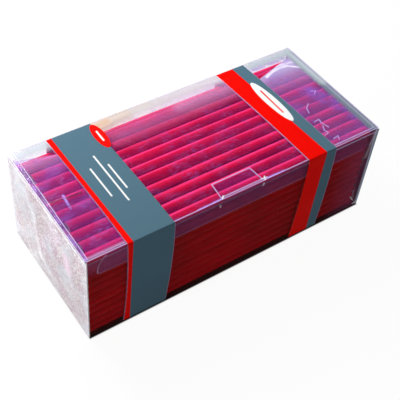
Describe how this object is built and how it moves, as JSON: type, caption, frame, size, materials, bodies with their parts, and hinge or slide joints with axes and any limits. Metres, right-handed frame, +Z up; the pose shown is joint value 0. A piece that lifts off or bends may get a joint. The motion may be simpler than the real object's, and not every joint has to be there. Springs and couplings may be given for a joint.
{
  "type": "clear carton of carpenter's pencils",
  "caption": "Clear folding carton with printed bands and a hinged tuck-in lid, filled with red lacquered oval carpenter's pencils lying lengthwise in layers.",
  "frame": {"origin": "on the ground under the middle of the carton", "axes": "+X along the pencils to the right, +Y from the front wall to the back wall where the lid is hinged, +Z up"},
  "size_m": [0.316, 0.1384, 0.1042],
  "materials": {
    "clear_film": "thin clear plastic film, glossy, lightly scuffed",
    "left_band_print": "glossy slate grey ink with a red edge",
    "right_band_print": "glossy red ink with a slate grey edge",
    "red_patch_print": "glossy red ink",
    "white_patch_print": "glossy white ink",
    "red_lacquered_wood": "gloss red lacquer over softwood, bare sawn ends",
    "graphite": "dark grey baked graphite and clay"
  },
  "bodies": {
    "carton": {"base_panel": "clear_film", "front_wall": "clear_film", "back_wall": "clear_film", "left_end_wall": "clear_film", "right_end_wall": "clear_film", "left_front_glue_flap": "clear_film", "left_back_glue_flap": "clear_film", "right_front_glue_flap": "clear_film", "right_back_glue_flap": "clear_film", "lock_tab": "clear_film", "left_band_on_front": "left_band_print", "left_band_on_back": "left_band_print", "left_band_on_base": "left_band_print", "right_band_on_front": "right_band_print", "right_band_on_back": "right_band_print", "right_band_on_base": "right_band_print", "layer_01_casings": "red_lacquered_wood", "layer_02_casings": "red_lacquered_wood", "layer_03_casings": "red_lacquered_wood", "layer_04_casings": "red_lacquered_wood", "layer_05_casings": "red_lacquered_wood", "layer_06_casings": "red_lacquered_wood", "layer_07_casings": "red_lacquered_wood", "layer_08_casings": "red_lacquered_wood", "layer_09_casings": "red_lacquered_wood", "layer_10_casings": "red_lacquered_wood", "layer_11_casings": "red_lacquered_wood", "layer_01_leads": "graphite", "layer_02_leads": "graphite", "layer_03_leads": "graphite", "layer_04_leads": "graphite", "layer_05_leads": "graphite", "layer_06_leads": "graphite", "layer_07_leads": "graphite", "layer_08_leads": "graphite", "layer_09_leads": "graphite", "layer_10_leads": "graphite", "layer_11_leads": "graphite"},
    "lid": {"lid_panel": "clear_film", "left_band_on_lid": "left_band_print", "right_band_on_lid": "right_band_print", "left_oval_patch": "red_patch_print", "right_oval_patch": "white_patch_print"},
    "tuck": {"tuck_flap": "clear_film"},
    "left_dust": {"left_dust_flap": "clear_film"},
    "right_dust": {"right_dust_flap": "clear_film"}
  },
  "joints": [
    {"name": "lid_hinge", "type": "hinge", "parent": "carton", "child": "lid", "pos_m": [0, 0.069, 0.104], "axis": [-1, 0, 0], "range_deg": [0, 170], "deforming": ["lock_tab"]},
    {"name": "tuck_fold", "type": "hinge", "parent": "lid", "child": "tuck", "pos_m": [0, -0.06715, 0.10325], "axis": [1, 0, 0], "range_deg": [0, 85]},
    {"name": "left_dust_fold", "type": "hinge", "parent": "carton", "child": "left_dust", "pos_m": [-0.155, 0, 0.1032], "axis": [0, -1, 0], "range_deg": [0, 68]},
    {"name": "right_dust_fold", "type": "hinge", "parent": "carton", "child": "right_dust", "pos_m": [0.155, 0, 0.1032], "axis": [0, 1, 0], "range_deg": [0, 68]}
  ],
  "couplings": [
    {"joint": "tuck_fold", "follows": "lid_hinge", "ratio": 0.5},
    {"joint": "left_dust_fold", "follows": "lid_hinge", "ratio": 0.4},
    {"joint": "right_dust_fold", "follows": "lid_hinge", "ratio": 0.4}
  ]
}
